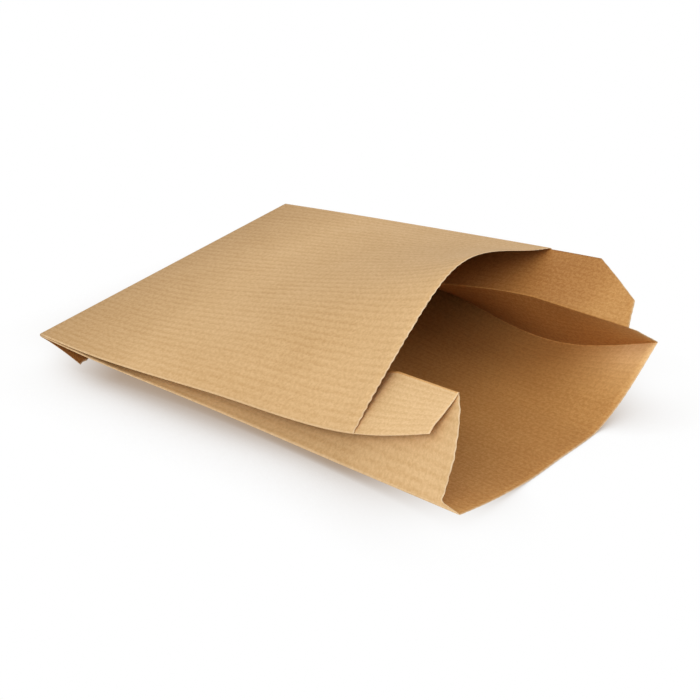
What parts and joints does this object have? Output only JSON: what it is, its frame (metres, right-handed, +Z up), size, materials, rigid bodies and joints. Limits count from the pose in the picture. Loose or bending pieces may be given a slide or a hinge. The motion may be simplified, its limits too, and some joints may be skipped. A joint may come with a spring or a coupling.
{
  "type": "paper lunch bag",
  "caption": "Side-gusseted flat paper lunch bag lying on its back panel, its mouth held open and the bottom flap folded under.",
  "frame": {"origin": "bottom centre of the lying bag's box, on the floor it rests on", "axes": "+X along the bag from the folded bottom edge to the mouth, +Y across its width, +Z up from the floor"},
  "size_m": [0.2664, 0.181, 0.074],
  "materials": {
    "kraft_paper": "matte"
  },
  "bodies": {
    "root": {"paper_bag": "kraft_paper"}
  },
  "joints": []
}
